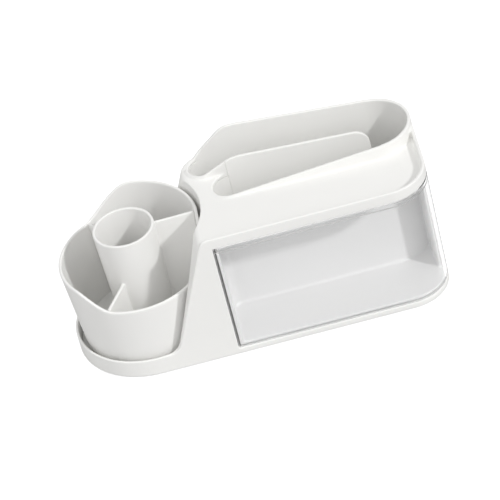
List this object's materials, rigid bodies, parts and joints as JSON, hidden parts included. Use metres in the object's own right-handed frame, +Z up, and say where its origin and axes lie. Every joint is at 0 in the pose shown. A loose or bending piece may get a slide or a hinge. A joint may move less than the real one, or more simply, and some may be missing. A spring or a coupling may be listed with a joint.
{
  "type": "desk organizer",
  "caption": "Desk organizer with a turning pen cup, a clear-fronted sliding drawer, a shallow top tray and a deep divided back pocket.",
  "frame": {"origin": "on the desk, under the middle of the body", "axes": "+X towards the drawer end, +Y towards the back, +Z up"},
  "size_m": [0.233, 0.0925, 0.105],
  "materials": {
    "white_plastic": "satin",
    "cup_white": "satin",
    "drawer_white": "satin",
    "clear_plastic": "polished clear",
    "glide_plastic": "plain",
    "screw_steel": "zinc plated",
    "ball_steel": "polished",
    "foot_rubber": "matt"
  },
  "bodies": {
    "body": {"housing": "white_plastic", "pocket_liner": "white_plastic", "pocket_divider": "white_plastic", "base_plate": "white_plastic", "base_screws": "screw_steel", "runner_left": "glide_plastic", "runner_right": "glide_plastic", "ball_cage": "glide_plastic", "bearing_balls": "ball_steel", "pivot_washer": "screw_steel", "pivot_screw": "screw_steel", "foot_cup_front": "foot_rubber", "foot_cup_back": "foot_rubber", "foot_middle_front": "foot_rubber", "foot_middle_back": "foot_rubber", "foot_end_front": "foot_rubber", "foot_end_back": "foot_rubber"},
    "cup": {"cup_shell": "cup_white", "cup_core": "cup_white", "turntable": "glide_plastic"},
    "drawer": {"drawer_front": "clear_plastic", "drawer_tray": "drawer_white"}
  },
  "joints": [
    {"name": "cup_turn", "type": "hinge", "parent": "body", "child": "cup", "pos_m": [-0.0703, 0, 0.0057], "axis": [0, 0, 1], "continuous": true},
    {"name": "drawer_slide", "type": "slide", "parent": "body", "child": "drawer", "axis": [0, -1, 0], "range_m": [0, 0.034]}
  ]
}
